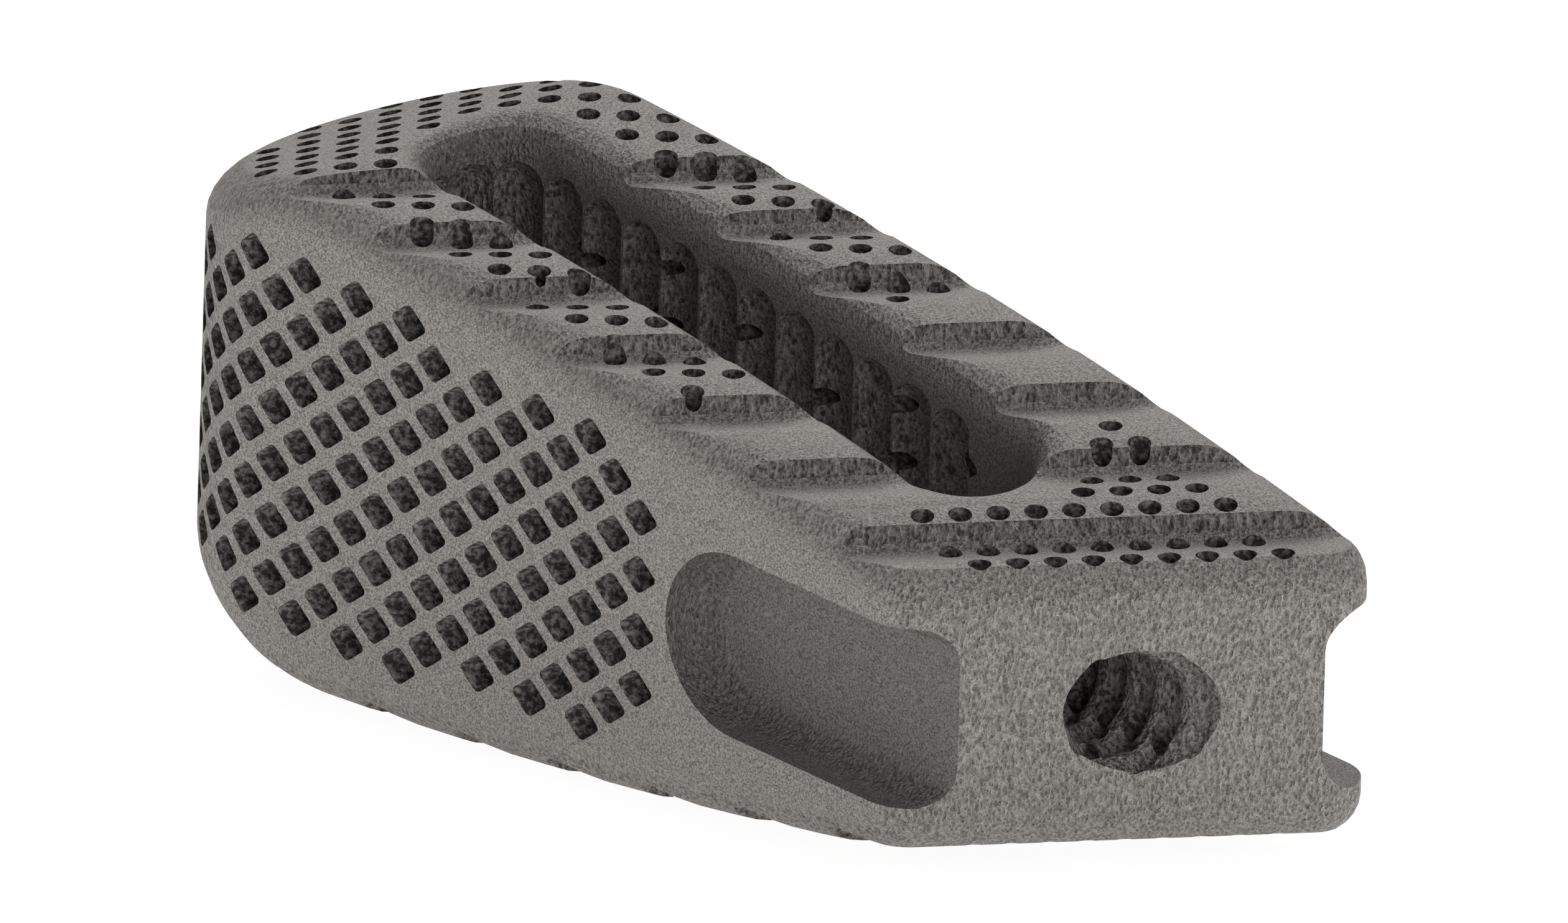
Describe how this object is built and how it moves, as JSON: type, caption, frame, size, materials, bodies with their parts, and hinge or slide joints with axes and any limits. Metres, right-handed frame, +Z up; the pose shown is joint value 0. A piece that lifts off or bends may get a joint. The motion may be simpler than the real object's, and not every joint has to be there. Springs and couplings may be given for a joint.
{
  "type": "spinal interbody cage",
  "caption": "Oblique lordotic spinal interbody cage with toothed endplates, a long graft window, grip slots, a threaded hole and porous walls.",
  "frame": {"origin": "centre of the overall box in plan, on the plane that the two lowest teeth lie on", "axes": "+X along the long axis towards the threaded end, the nose towards -X; +Z up, away from the plane it rests on"},
  "size_m": [0.035, 0.0116, 0.0146],
  "materials": {
    "cage_body": "matt, grainy printed titanium"
  },
  "bodies": {
    "root": {"cage_body": "cage_body"}
  },
  "joints": []
}
